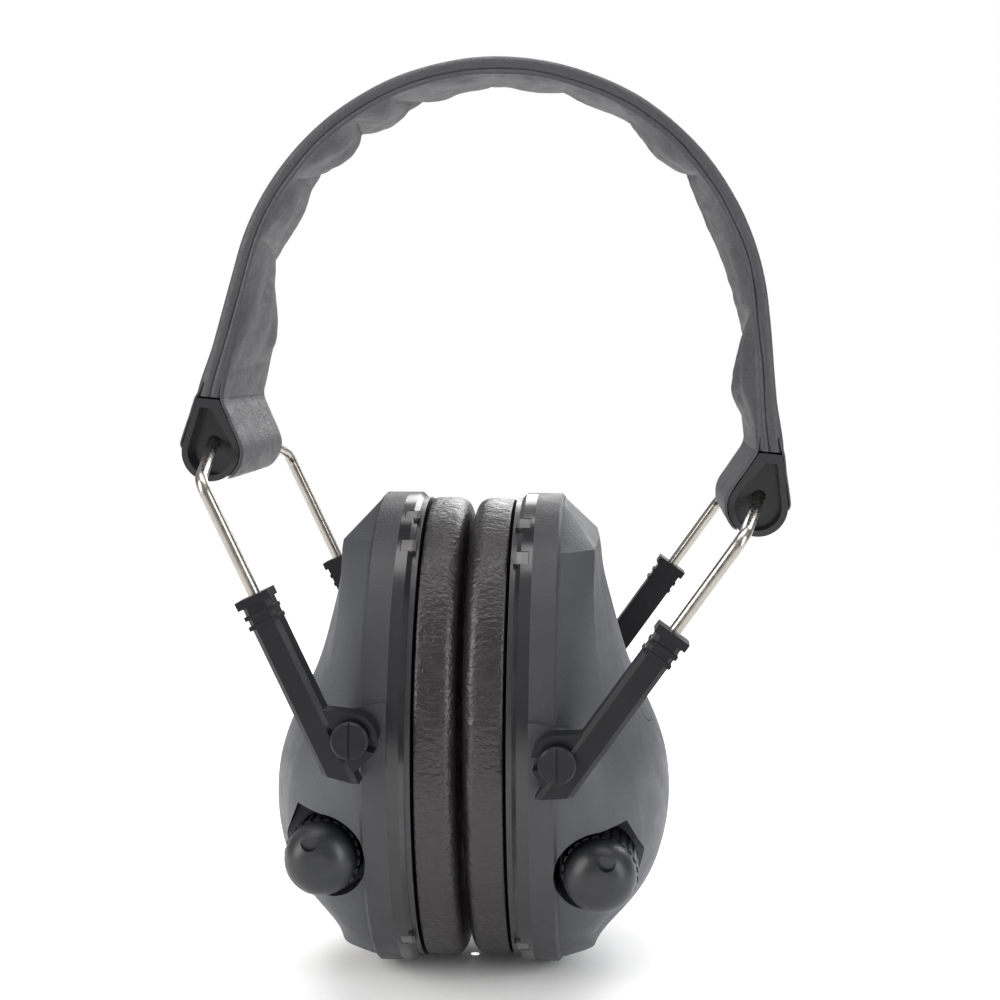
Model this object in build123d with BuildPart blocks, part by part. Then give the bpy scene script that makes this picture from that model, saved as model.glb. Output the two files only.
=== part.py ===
from build123d import *
import os
from math import atan2, cos, degrees, hypot, radians, sin, sqrt, tan

# Folding electronic earmuff: a sprung, padded headband, two wire bails that turn
# in the band's end caps, arms that slide on the bails, and two ear cups that tilt
# on pins between the arms. Each cup carries its own sound electronics.
#
# Millimetres. X runs from the wearer's one ear to the other, Y away from the knobs,
# Z up. The origin is on the midplane between the two cushions, at half cup height.
# A side is -1 (left) or +1 (right); "out" is a distance from the midplane.

os.makedirs("parts", exist_ok=True)

SIDES = (-1, 1)
SIDE_NAME = {-1: "left", 1: "right"}

# ------------------------------------------------------------ driving dimensions
CUP_HALF_H = 53.5            # flange of the cup, an upright oval
CUP_HALF_W = 42.0
WALL = 2.2                   # moulded wall of the shell
CLEAR = 0.3                  # gap between parts that move on each other
FIT = 0.1                    # radial play of a pin or wire in its bore

CUSHION_FACE = 0.3           # stack of the cup, outward from the midplane
CUSHION_BACK = 10.0
RIM_FACE = 11.2
FLANGE_FACE = 14.7
FLANGE_BACK = 20.5
BAFFLE_FACE = 14.8
BAFFLE_BACK = 16.3

BODY_HALF_H = CUP_HALF_H - 1.0
BODY_HALF_W = CUP_HALF_W - 1.0
EAR_HALF_H = 34.5            # opening of the cushion
EAR_HALF_W = 22.5

CUP_PITCH = 2.4              # each cup rests nodded a little, the two in opposite ways
PIN_OUT = 21.0               # pivot pins of the cup
PIN_UP = 5.0
PIN_R = 2.0
PIN_HEAD_R = 3.9
ARM_Y = 46.0                 # arms and bail legs run this far in front and behind
ARM_DEPTH = 6.0
ARM_WIDTH = 6.0
ARM_ABOVE_PIN = 35.0
ARM_BELOW_PIN = 9.0

WIRE_R = 1.3                 # stainless bail wire
LEG_LENGTH = 43.0            # bail leg, from its bend to its end inside the arm
LEG_ANGLE = 30.3             # lean of the legs from the band's own axis
BEND_IN = 4.4                # bail bend, from the cap bore
BEND_DOWN = 6.1
BAIL_TURN = 0.4              # the left bail rests turned in, the right one out

BAND_X = 3.6                 # the band rests rolled, its right end lower
BAND_Z = 60.1
BAND_ROLL = 5.4
HINGE_SPAN = 59.5            # half distance between the two cap bores
ARC_UP = 29.2                # arch centre above the cap bores
BAND_OUT_R = 58.3
FOOT_LEAN = 11.0             # the band's feet lean outward, in degrees
BAND_THICK = 5.2
BAND_HALF_W = 22.0
COVER_WALL = 0.7
CROWN_HALF_ANGLE = 6.0       # fixed middle of the band
CROWN_GAP_ANGLE = 0.3
SPRING_THICK = 0.8
SPRING_HALF_W = 10.0
PAD_THICK = 2.6

KNOB_OUT = 29.4              # volume knob, its axis straight to the front
KNOB_UP = -22.7
KNOB_R = 8.1
POCKET_R = 9.7
POCKET_FLOOR = 24.6
SHAFT_R = 2.0

BATTERY_R = 5.25             # two AAA cells, upright
BATTERY_LENGTH = 44.5
BATTERY_OUT = 21.7
BATTERY_FOOT = -9.5
BATTERY_SPREAD = 5.4
DOOR_HALF_W = 12.0           # battery door on the sloping outer face
DOOR_FOOT = 4.0
DOOR_TOP = 36.0
DOOR_HINGE_OUT = 29.8        # edge line on which the door swings
DOOR_HINGE_UP = 36.1

SEAL_HALF_W = CUP_HALF_W - 1.4      # cushion and its plate
SEAL_HALF_H = CUP_HALF_H - 1.2
TAB_REACH = 3.0              # snap tabs of the seal plate
TAB_WIDTH = 3.2
TAB_LENGTH = 2.6

SCREW_R = 1.2
SCREW_HEAD_R = 2.4
SCREW_HEAD_T = 1.6
SCREW_REACH = 6.0
SCREW_SPOTS = [(25.5, 31.0), (-25.5, 31.0), (24.5, -34.0), (-24.5, -34.0)]

SPEAKER_UP = -24.0
SPEAKER_R = 14.0
BOARD_OUT = 25.0
BOARD_UP = -26.0
MIC_UP = -14.0
MIC_OUT = 44.6
MIC_R = 3.0
PIN_HEAD_FACE = 49.5
BRACKET_R = 5.2
BRACKET_HALF_H = 6.5
LUG_R = 5.4
ARM_BORE = 42.0

KNOB_FOOT = 25.2
KNOB_SHOULDER = 34.6
KNOB_TOP = 41.8

CAP_OUT = HINGE_SPAN - 0.3
CAP_UP = -2.0
CAP_R = 6.3
CAP_WALL = 1.3
CAP_TOP = 9.5
CAP_FLOOR = 18.0
COVER_FOOT = CAP_TOP + 0.2
SPRING_FOOT = 11.0
PAD_FOOT = 21.0
TONGUE_THICK = 2.3
TONGUE_TOP = 20.0
TONGUE_ROOT = CAP_TOP - 5
TONGUE_HALF_W = 14.0
RIVET_R = 1.2
RIVET_UP = 15.0
RIVET_SPOTS = [(-6.0, 0.0), (6.0, 0.0)]

# Outline of the moulded body at several heights: height, how far out the crease is,
# its depth as a share of the flange's, how far out the middle is, bulge of the cheek.
BODY_ROWS = (
    (43.6, 27.6, 0.74, 28.2, 0.4),
    (37.0, 27.6, 0.70, 29.3, 0.5),
    (30.0, 27.8, 0.68, 31.0, 0.5),
    (22.0, 28.4, 0.68, 33.2, 0.6),
    (14.0, 29.8, 0.70, 35.9, 0.9),
    (5.0, 33.0, 0.72, 40.2, 1.5),
    (-4.0, 36.4, 0.71, 43.5, 2.2),
    (-14.0, 38.0, 0.70, 44.6, 2.6),
    (-24.0, 37.5, 0.70, 43.4, 2.6),
    (-34.0, 33.6, 0.69, 39.6, 2.4),
    (-43.0, 28.4, 0.68, 32.6, 1.6),
    (-50.0, 23.4, 0.68, 25.2, 0.8),
)
BODY_PEAK = (52.0, 20.9, 0.70, 21.1, 0.1)


# ------------------------------------------------------------ frames of reference
def pitch(side):
    """Nod of a cup in radians: the left one lifts its front, the right one drops it."""
    return radians(-side * CUP_PITCH)


def cup_plane(side, out):
    """Upright plane a distance out in a cup; local z outward, local y up."""
    up = (0, sin(pitch(side)), cos(pitch(side)))
    back = (0, side * cos(pitch(side)), -side * sin(pitch(side)))
    return Plane(origin=(side * out, 0, 0), x_dir=back, z_dir=Vector(*back).cross(Vector(*up)))


def level_plane(side, height):
    """Plane across a cup at one height; local x along X, local y to the back."""
    up = Vector(0, sin(pitch(side)), cos(pitch(side)))
    return Plane(origin=up * height, x_dir=(1, 0, 0), z_dir=up)


def front_plane(side, toward_front):
    """Plane across a cup that faces the front; local x along X, local y up."""
    front = Vector(0, -cos(pitch(side)), sin(pitch(side)))
    return Plane(origin=front * toward_front, x_dir=(1, 0, 0), z_dir=front)


BAND = Plane(
    origin=(BAND_X, 0, BAND_Z),
    x_dir=(cos(radians(BAND_ROLL)), 0, -sin(radians(BAND_ROLL))),
    z_dir=(0, -1, 0),
)


def band_point(across, up, y=0.0):
    """World point from a place across and up in the rolled frame of the band."""
    return BAND.from_local_coords(Vector(across, up, -y))


def leg_plane(side, y=0.0):
    """Plane of a bail leg: origin at its bend, local x down the leg, local z to the front."""
    turn = radians(-side * BAIL_TURN)
    bend_in = BEND_IN * cos(turn) + BEND_DOWN * sin(turn)
    bend_down = BEND_DOWN * cos(turn) - BEND_IN * sin(turn)
    lean = radians(LEG_ANGLE) + turn
    bend = band_point(side * (HINGE_SPAN - bend_in), -bend_down, y)
    tip = band_point(
        side * (HINGE_SPAN - bend_in - sin(lean)), -bend_down - cos(lean), y
    )
    return Plane(origin=bend, x_dir=tip - bend, z_dir=(0, -1, 0))


def pin_on_leg(side, y):
    """Place of a cup's pivot in the leg's plane: distance down the leg, and offset."""
    height = PIN_UP / cos(pitch(side)) - y * tan(pitch(side))
    spot = leg_plane(side, y).to_local_coords(Vector(side * PIN_OUT, y, height))
    return spot.X, spot.Y


# ------------------------------------------------------------ shared shapes
def keep(piece, name):
    """Label a finished piece and write its STEP file."""
    piece.part.label = name
    export_step(piece.part, f"parts/{name}.step")


def oval_plate(side, near, far, half_w, half_h, mode=Mode.ADD):
    """Oval slab of a cup between two distances from the midplane."""
    with BuildSketch(cup_plane(side, near)) as oval:
        Ellipse(half_w, half_h)
    extrude(oval.sketch, amount=far - near, mode=mode)


def body_section(side, row, inset):
    """Outline across the moulded body at one height: cheek, outer arc, cheek, base."""
    height, crease_out, crease_share, middle_out, bulge = row
    half_h = BODY_HALF_H - inset
    level = height * half_h / BODY_HALF_H
    depth = (BODY_HALF_W - inset) * sqrt(1 - (level / half_h) ** 2)
    crease = crease_share * depth
    out = crease_out - inset
    middle = middle_out - inset
    base = FLANGE_BACK - inset
    chord = hypot(out - base, depth - crease)
    cheek_out = (base + out) / 2 + 2 * bulge * (depth - crease) / chord
    cheek = (depth + crease) / 2 + 2 * bulge * (out - base) / chord
    with BuildSketch(level_plane(side, level)) as section:
        with BuildLine():
            Bezier((side * base, -depth), (side * cheek_out, -cheek), (side * out, -crease))
            Bezier((side * out, -crease), (side * (2 * middle - out), 0), (side * out, crease))
            Bezier((side * out, crease), (side * cheek_out, cheek), (side * base, depth))
            Line((side * base, depth), (side * base, -depth))
        make_face()
    return section.sketch


def moulded_body(side, inset):
    """Domed outer body of a cup, or its hollow when inset by the wall."""
    with BuildPart() as body:
        loft([body_section(side, row, inset) for row in BODY_ROWS])
        loft([body_section(side, row, inset) for row in (BODY_PEAK, BODY_ROWS[0])], ruled=True)
    return body.part


def door_prism(side, grow):
    """Block through the sloping outer face where the battery door is cut."""
    with BuildPart() as prism:
        with BuildSketch(cup_plane(side, FLANGE_BACK)):
            with Locations((0, (DOOR_FOOT + DOOR_TOP) / 2)):
                RectangleRounded(2 * (DOOR_HALF_W + grow), DOOR_TOP - DOOR_FOOT + 2 * grow, 3)
        extrude(amount=30)
    return prism.part


def tab_spots():
    """Places and turns of the seal plate's snap tabs round the flange oval."""
    spots = []
    for turn in (53.5, 67.0, 113.0, 126.5, 233.5, 306.5):
        across = CUP_HALF_W * cos(radians(turn))
        up = CUP_HALF_H * sin(radians(turn))
        normal = degrees(atan2(up / CUP_HALF_H**2, across / CUP_HALF_W**2))
        spots.append(Location((across, up), normal))
    return spots


def battery_spots(side):
    """Centres of the two cells in a level plane."""
    return [(side * BATTERY_OUT, -BATTERY_SPREAD), (side * BATTERY_OUT, BATTERY_SPREAD)]



# ------------------------------------------------------------ ear cups
def make_shell(side):
    """Moulded cup with its flange, pivot brackets, knob well and screw bosses."""
    outer = moulded_body(side, 0)
    hollow = moulded_body(side, WALL)
    door_cut = door_prism(side, FIT)
    with BuildPart() as posts:
        with BuildSketch(front_plane(side, POCKET_FLOOR - 1.8)):
            with Locations((side * KNOB_OUT, KNOB_UP)):
                Circle(POCKET_R + 1.6)
        extrude(amount=25)
        with BuildSketch(cup_plane(side, BAFFLE_BACK + 0.1)):
            with Locations(*SCREW_SPOTS):
                Circle(3.2)
        extrude(amount=25)
        add(outer, mode=Mode.INTERSECT)
    with BuildPart() as shell:
        oval_plate(side, FLANGE_FACE, FLANGE_BACK, CUP_HALF_W, CUP_HALF_H)
        rims = shell.edges().group_by(Axis.X)
        chamfer(rims[0] if side < 0 else rims[-1], 0.6)
        add(outer)
        add(hollow, mode=Mode.SUBTRACT)
        oval_plate(
            side, FLANGE_FACE, FLANGE_BACK - WALL + 0.1,
            CUP_HALF_W - WALL, CUP_HALF_H - WALL, Mode.SUBTRACT,
        )
        add(posts.part)
        # Brackets that carry the pivot pins, front and back.
        for toward_front in (1, -1):
            with BuildSketch(front_plane(side, toward_front * (CUP_HALF_W - 2.1))):
                with BuildLine():
                    CenterArc((side * PIN_OUT, PIN_UP), BRACKET_R, 0, 360)
                    Polyline(
                        (side * FLANGE_FACE, PIN_UP - BRACKET_HALF_H),
                        (side * (FLANGE_FACE + 1), PIN_UP - BRACKET_HALF_H),
                        (side * (FLANGE_FACE + 1), PIN_UP + BRACKET_HALF_H),
                        (side * FLANGE_FACE, PIN_UP + BRACKET_HALF_H), close=True,
                    )
                make_hull()
            extrude(amount=toward_front * 2.5)
            with BuildSketch(front_plane(side, 0)):
                with Locations((side * PIN_OUT, PIN_UP)):
                    Circle(PIN_R)
            extrude(amount=toward_front * 60, mode=Mode.SUBTRACT)
        # Knob pocket with its pointer notch, and the hole for the knob's shaft.
        with BuildSketch(front_plane(side, POCKET_FLOOR)):
            with Locations((side * KNOB_OUT, KNOB_UP)):
                Circle(POCKET_R)
            with BuildLine():
                Polyline(
                    (side * (KNOB_OUT + 5.6), KNOB_UP + 11.0),
                    (side * (KNOB_OUT + POCKET_R * cos(radians(30))), KNOB_UP + POCKET_R / 2),
                    (
                        side * (KNOB_OUT - POCKET_R * cos(radians(62))),
                        KNOB_UP + POCKET_R * sin(radians(62)),
                    ),
                    close=True,
                )
            make_face()
        extrude(amount=25, mode=Mode.SUBTRACT)
        with BuildSketch(front_plane(side, POCKET_FLOOR - 4)):
            with Locations((side * KNOB_OUT, KNOB_UP)):
                Circle(SHAFT_R + CLEAR)
        extrude(amount=8, mode=Mode.SUBTRACT)
        # Screw pilot holes, battery opening and microphone port.
        with BuildSketch(cup_plane(side, BAFFLE_BACK)):
            with Locations(*SCREW_SPOTS):
                Circle(SCREW_R)
        extrude(amount=SCREW_REACH, mode=Mode.SUBTRACT)
        add(door_cut, mode=Mode.SUBTRACT)
        with BuildSketch(cup_plane(side, FLANGE_BACK)):
            with Locations((0, MIC_UP)):
                Circle(MIC_R)
        extrude(amount=30, mode=Mode.SUBTRACT)
    keep(shell, f"{SIDE_NAME[side]}_shell")


def make_battery_door(side):
    """Panel of the sloping outer face, as thick as the wall."""
    with BuildPart() as door:
        add(moulded_body(side, 0))
        add(moulded_body(side, WALL - CLEAR), mode=Mode.SUBTRACT)
        add(door_prism(side, -FIT), mode=Mode.INTERSECT)
    keep(door, f"{SIDE_NAME[side]}_battery_door")


def make_rim(side):
    """Glossy ring between the shell and the ear cushion, notched for the snap tabs."""
    with BuildPart() as rim:
        oval_plate(side, RIM_FACE, FLANGE_FACE, CUP_HALF_W, CUP_HALF_H)
        near_edges = rim.edges().group_by(Axis.X)
        chamfer(near_edges[-1] if side < 0 else near_edges[0], 1.0)
        oval_plate(
            side, RIM_FACE, FLANGE_FACE, EAR_HALF_W + 1.5, EAR_HALF_H + 1.5, Mode.SUBTRACT
        )
        with BuildSketch(cup_plane(side, RIM_FACE)):
            for spot in tab_spots():
                with Locations(spot):
                    Rectangle(TAB_REACH + 2 * FIT, TAB_WIDTH + 2 * FIT)
        extrude(amount=TAB_LENGTH + FIT, mode=Mode.SUBTRACT)
        with BuildSketch(cup_plane(side, RIM_FACE)):
            with Locations(*SCREW_SPOTS):
                Circle(SCREW_HEAD_R + FIT)
        extrude(amount=SCREW_HEAD_T, mode=Mode.SUBTRACT)
        with BuildSketch(cup_plane(side, RIM_FACE)):
            with Locations(*SCREW_SPOTS):
                Circle(SCREW_R + FIT)
        extrude(amount=10, mode=Mode.SUBTRACT)
    keep(rim, f"{SIDE_NAME[side]}_rim")


def make_seal_plate(side):
    """Thin plate under the cushion, with tabs that snap over the rim."""
    with BuildPart() as plate:
        oval_plate(side, CUSHION_BACK, RIM_FACE, SEAL_HALF_W, SEAL_HALF_H)
        oval_plate(side, CUSHION_BACK, RIM_FACE, EAR_HALF_W + 1, EAR_HALF_H + 1, Mode.SUBTRACT)
        with BuildSketch(cup_plane(side, RIM_FACE - 0.6)):
            for spot in tab_spots():
                with Locations(spot):
                    Rectangle(TAB_REACH, TAB_WIDTH)
            Ellipse(CUP_HALF_W - 0.1, CUP_HALF_H - 0.1, mode=Mode.INTERSECT)
        extrude(amount=TAB_LENGTH + 0.6)
    keep(plate, f"{SIDE_NAME[side]}_seal_plate")


def make_cushion(side):
    """Soft leatherette ring that seals round the ear."""
    with BuildPart() as cushion:
        oval_plate(side, CUSHION_FACE, CUSHION_BACK, SEAL_HALF_W, SEAL_HALF_H)
        oval_plate(side, CUSHION_FACE, CUSHION_BACK, EAR_HALF_W, EAR_HALF_H, Mode.SUBTRACT)
        ovals = cushion.edges().filter_by(GeomType.LINE, reverse=True).sort_by(SortBy.LENGTH)
        fillet(ovals[-2:], 4.2)
        ovals = cushion.edges().filter_by(GeomType.ELLIPSE).sort_by(SortBy.LENGTH)
        fillet(ovals[:2], 3.0)
    keep(cushion, f"{SIDE_NAME[side]}_cushion")


def make_liner(side):
    """Foam disc seen inside the ear opening."""
    with BuildPart() as liner:
        oval_plate(side, FLANGE_FACE - 2.6, FLANGE_FACE, EAR_HALF_W + 1.2, EAR_HALF_H + 1.2)
    keep(liner, f"{SIDE_NAME[side]}_liner")


def make_baffle(side):
    """Inner plate that closes the cup and holds the speaker."""
    with BuildPart() as baffle:
        oval_plate(
            side, BAFFLE_FACE, BAFFLE_BACK, CUP_HALF_W - WALL - CLEAR, CUP_HALF_H - WALL - CLEAR
        )
        with BuildSketch(cup_plane(side, BAFFLE_FACE)):
            with Locations(*SCREW_SPOTS):
                Circle(SCREW_R + FIT)
            with Locations((0, SPEAKER_UP)):
                Circle(SPEAKER_R - 3)
        extrude(amount=2, mode=Mode.SUBTRACT)
    keep(baffle, f"{SIDE_NAME[side]}_baffle")


def make_speaker(side):
    """Small loudspeaker: frame, magnet and a shallow cone."""
    with BuildPart() as speaker:
        with BuildSketch(cup_plane(side, BAFFLE_BACK)):
            with Locations((0, SPEAKER_UP)):
                Circle(SPEAKER_R)
        extrude(amount=2)
        with BuildSketch(cup_plane(side, BAFFLE_BACK + 2)):
            with Locations((0, SPEAKER_UP)):
                Circle(SPEAKER_R * 0.55)
        extrude(amount=3.4)
        with BuildSketch(cup_plane(side, BAFFLE_BACK)):
            with Locations((0, SPEAKER_UP)):
                Circle(SPEAKER_R - 4)
        extrude(amount=1.2, taper=40, mode=Mode.SUBTRACT)
    keep(speaker, f"{SIDE_NAME[side]}_speaker")


def make_circuit_board(side):
    """Amplifier board with a row of its larger components."""
    with BuildPart() as board:
        with BuildSketch(cup_plane(side, BOARD_OUT)):
            with Locations((side * 2.5, BOARD_UP)):
                Rectangle(33, 28)
        extrude(amount=1.6)
        with BuildSketch(cup_plane(side, BOARD_OUT + 1.6)):
            with Locations((side * 2.5, BOARD_UP)):
                with GridLocations(7.5, 9, 4, 3):
                    Rectangle(4.2, 3.2)
        extrude(amount=1.8)
    keep(board, f"{SIDE_NAME[side]}_circuit_board")


def make_volume_control(side):
    """Potentiometer body behind the knob's pocket."""
    with BuildPart() as control:
        with BuildSketch(front_plane(side, POCKET_FLOOR - 7.9)):
            with Locations((side * KNOB_OUT, KNOB_UP)):
                Circle(5.2)
                Circle(SHAFT_R + FIT, mode=Mode.SUBTRACT)
        extrude(amount=6)
        with BuildSketch(front_plane(side, POCKET_FLOOR - 8.9)):
            with Locations((side * KNOB_OUT, KNOB_UP)):
                Circle(5.2)
        extrude(amount=1)
    keep(control, f"{SIDE_NAME[side]}_volume_control")


def make_microphone(side):
    """Microphone capsule behind its port in the outer face."""
    with BuildPart() as microphone:
        with BuildSketch(cup_plane(side, MIC_OUT - 6.2)):
            with Locations((0, MIC_UP)):
                Circle(MIC_R - FIT)
        extrude(amount=3.2)
    keep(microphone, f"{SIDE_NAME[side]}_microphone")
    with BuildPart() as screen:
        with BuildSketch(cup_plane(side, MIC_OUT - 3.0)):
            with Locations((0, MIC_UP)):
                Circle(MIC_R - FIT)
        extrude(amount=2.8)
        screen_face = screen.faces().filter_by(Axis.X).sort_by(Axis.X)
        fillet((screen_face[-1] if side > 0 else screen_face[0]).edges(), 0.6)
    keep(screen, f"{SIDE_NAME[side]}_mic_screen")


def make_batteries(side):
    """Two AAA cells, upright side by side, and the contact springs at their ends."""
    with BuildPart() as cells:
        with BuildSketch(level_plane(side, BATTERY_FOOT)):
            with Locations(*battery_spots(side)):
                Circle(BATTERY_R)
        extrude(amount=BATTERY_LENGTH - 1)
        with BuildSketch(level_plane(side, BATTERY_FOOT + BATTERY_LENGTH - 1)):
            with Locations(*battery_spots(side)):
                Circle(1.9)
        extrude(amount=1)
    keep(cells, f"{SIDE_NAME[side]}_batteries")
    with BuildPart() as contacts:
        for foot in (BATTERY_FOOT - 0.5, BATTERY_FOOT + BATTERY_LENGTH):
            with BuildSketch(level_plane(side, foot)):
                with Locations((side * (BATTERY_OUT - 0.6), 0)):
                    Rectangle(7, 20)
            extrude(amount=0.5)
    keep(contacts, f"{SIDE_NAME[side]}_battery_contacts")


def make_pivot_pins(side):
    """Front and back pins on which the cup tilts, slotted across their heads."""
    with BuildPart() as pins:
        for toward_front in (1, -1):
            with BuildSketch(front_plane(side, toward_front * (CUP_HALF_W - 5))):
                with Locations((side * PIN_OUT, PIN_UP)):
                    Circle(PIN_R)
            extrude(amount=toward_front * (PIN_HEAD_FACE - CUP_HALF_W + 5))
            with BuildSketch(front_plane(side, toward_front * PIN_HEAD_FACE)):
                with Locations((side * PIN_OUT, PIN_UP)):
                    Circle(PIN_HEAD_R)
            extrude(amount=toward_front * 1.6)
        outer_faces = [pins.faces().sort_by(Axis.Y)[i] for i in (0, -1)]
        chamfer([face.outer_wire().edges() for face in outer_faces], 0.45)
        for toward_front in (1, -1):
            with BuildSketch(front_plane(side, toward_front * (PIN_HEAD_FACE + 1.2))):
                with Locations((side * PIN_OUT, PIN_UP)):
                    Rectangle(0.4, 3 * PIN_HEAD_R)
            extrude(amount=toward_front * 2, mode=Mode.SUBTRACT)
    keep(pins, f"{SIDE_NAME[side]}_pivot_pins")


def make_case_screws(side):
    """Four self-tapping screws through the rim and baffle into the shell's bosses."""
    with BuildPart() as screws:
        with BuildSketch(cup_plane(side, RIM_FACE)):
            with Locations(*SCREW_SPOTS):
                Circle(SCREW_HEAD_R)
        extrude(amount=SCREW_HEAD_T)
        with BuildSketch(cup_plane(side, RIM_FACE + SCREW_HEAD_T)):
            with Locations(*SCREW_SPOTS):
                Circle(SCREW_R)
        extrude(amount=BAFFLE_BACK + SCREW_REACH - RIM_FACE - SCREW_HEAD_T)
        with BuildSketch(cup_plane(side, RIM_FACE)):
            with Locations(*SCREW_SPOTS):
                Rectangle(3.0, 0.6)
                Rectangle(0.6, 3.0)
        extrude(amount=0.7, mode=Mode.SUBTRACT)
    keep(screws, f"{SIDE_NAME[side]}_case_screws")


def make_knob(side):
    """Domed volume knob with a fluted skirt and a pointer dimple, and its shaft."""
    with BuildPart() as knob:
        with BuildSketch(front_plane(side, KNOB_FOOT)):
            with Locations((side * KNOB_OUT, KNOB_UP)):
                Circle(KNOB_R)
                with PolarLocations(KNOB_R + 0.25, 24):
                    Circle(0.6, mode=Mode.SUBTRACT)
        extrude(amount=KNOB_SHOULDER - KNOB_FOOT)
        with BuildSketch(front_plane(side, KNOB_SHOULDER)):
            with Locations((side * KNOB_OUT, KNOB_UP)):
                Circle(KNOB_R - 0.35)
        extrude(amount=KNOB_TOP - KNOB_SHOULDER)
        fillet(knob.faces().sort_by(Axis.Y)[0].outer_wire().edges(), 6.0)
        with BuildSketch(front_plane(side, KNOB_TOP - 1.5)):
            with Locations((side * KNOB_OUT + side * 1.6, KNOB_UP + 4.6)):
                Circle(1.9)
        extrude(amount=6, mode=Mode.SUBTRACT)
        with BuildSketch(front_plane(side, KNOB_FOOT - 1)):
            with Locations((side * KNOB_OUT, KNOB_UP)):
                Circle(SHAFT_R)
        extrude(amount=7, mode=Mode.SUBTRACT)
    keep(knob, f"{SIDE_NAME[side]}_knob")
    with BuildPart() as shaft:
        with BuildSketch(front_plane(side, POCKET_FLOOR - 7.8)):
            with Locations((side * KNOB_OUT, KNOB_UP)):
                Circle(SHAFT_R)
        extrude(amount=KNOB_FOOT + 6 - POCKET_FLOOR + 7.8)
    keep(shaft, f"{SIDE_NAME[side]}_volume_shaft")


# ------------------------------------------------------------ arms and bail
def make_arm(side, toward_front):
    """Sliding arm: bored for the bail leg, ribbed at its mouth, clipped on a pivot pin."""
    y = -toward_front * ARM_Y
    plane = leg_plane(side)
    near = toward_front * (ARM_Y - ARM_DEPTH / 2)
    pin_along, pin_aside = pin_on_leg(side, y)
    mouth = pin_along - ARM_ABOVE_PIN
    end = pin_along + ARM_BELOW_PIN
    half = ARM_WIDTH / 2
    inward = -side
    with BuildPart() as arm:
        with BuildSketch(plane.offset(near)):
            with BuildLine():
                Polyline(
                    (mouth, -half), (end - 2.5 * (1 + inward), -half),
                    (end - 2.5 * (1 - inward), half), (mouth, half), close=True,
                )
            make_face()
        extrude(amount=toward_front * ARM_DEPTH)
        long_edges = arm.edges().filter_by(lambda edge: edge.length > 30).sort_by(Axis.Y)
        chamfer(long_edges[:2] if toward_front > 0 else long_edges[-2:], 1.0)
        # Flared mouth and the two ribs below it.
        for start, length, grow in ((0, 1.8, 0.7), (3.4, 0.9, 0.3), (5.6, 0.9, 0.3)):
            with BuildSketch(plane.offset(near - toward_front * 0.1)):
                with Locations((mouth + start + length / 2, 0)):
                    Rectangle(length, ARM_WIDTH + 2 * grow)
            extrude(amount=toward_front * (ARM_DEPTH + 0.1 + grow))
        # Lug round the pin.
        with BuildSketch(plane.offset(near)):
            with BuildLine():
                CenterArc((pin_along, pin_aside), LUG_R, 0, 360)
                Polyline(
                    (pin_along - 9, 0), (pin_along + 7, 0), (pin_along + 7, inward),
                    (pin_along - 9, inward), close=True,
                )
            make_hull()
        extrude(amount=toward_front * (ARM_DEPTH - 0.8))
        with BuildSketch(front_plane(side, 0)):
            with Locations((side * PIN_OUT, PIN_UP)):
                Circle(PIN_R + FIT)
        extrude(amount=toward_front * 60, mode=Mode.SUBTRACT)
        # Snap mouth of the lug, and the bore of the wire.
        with BuildSketch(plane.offset(near)):
            with Locations((pin_along + 3.2, pin_aside + inward * 3.6)):
                Rectangle(8.5, 2.6, rotation=inward * 48)
        extrude(amount=toward_front * ARM_DEPTH, mode=Mode.SUBTRACT)
        bore_start = plane.from_local_coords(Vector(mouth - 1, 0, toward_front * ARM_Y))
        with BuildSketch(Plane(origin=bore_start, z_dir=plane.x_dir)):
            Circle(WIRE_R + FIT)
        extrude(amount=ARM_BORE + 1, mode=Mode.SUBTRACT)
    end_name = "front" if toward_front > 0 else "rear"
    keep(arm, f"{SIDE_NAME[side]}_{end_name}_arm")


def make_bail(side):
    """One bent wire: through the cap, out to both sides, and down into both arms."""
    route = []
    for y in (-ARM_Y, ARM_Y):
        leg = leg_plane(side, y)
        bore_mouth = band_point(side * HINGE_SPAN, 0, (CAP_FLOOR + 0.5) * (1 if y > 0 else -1))
        route.append([leg.origin + leg.x_dir * LEG_LENGTH, leg.origin, bore_mouth])
    points = route[0] + route[1][::-1]
    with BuildPart() as bail:
        with BuildLine() as path:
            FilletPolyline(*points, radius=[4.0, 6.0, 6.0, 4.0])
        with BuildSketch(Plane(origin=path.line @ 0, z_dir=path.line % 0)):
            Circle(WIRE_R)
        sweep()
    keep(bail, f"{SIDE_NAME[side]}_bail")


# ------------------------------------------------------------ headband
def foot_spot(side, radius, up=None):
    """Point of the straight foot that runs on from an arc, at that height or at its start."""
    lean = radians(FOOT_LEAN)
    start_up = ARC_UP + radius * sin(lean)
    drop = 0 if up is None else start_up - up
    return side * (radius * cos(lean) + drop * tan(lean)), start_up - drop


def band_strip(side, out_r, thick, foot, start_angle):
    """Sketch of a strip of the band: an arc from near the crown, then a straight foot."""
    in_r = out_r - thick
    start = radians(90 - start_angle)
    with BuildSketch(BAND) as strip:
        with BuildLine():
            RadiusArc(
                (side * out_r * cos(start), ARC_UP + out_r * sin(start)),
                foot_spot(side, out_r), side * out_r,
            )
            Polyline(
                foot_spot(side, out_r), foot_spot(side, out_r, foot),
                foot_spot(side, in_r, foot), foot_spot(side, in_r),
            )
            RadiusArc(
                foot_spot(side, in_r),
                (side * in_r * cos(start), ARC_UP + in_r * sin(start)), -side * in_r,
            )
            Line(
                (side * in_r * cos(start), ARC_UP + in_r * sin(start)),
                (side * out_r * cos(start), ARC_UP + out_r * sin(start)),
            )
        make_face()
    return strip.sketch


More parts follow.
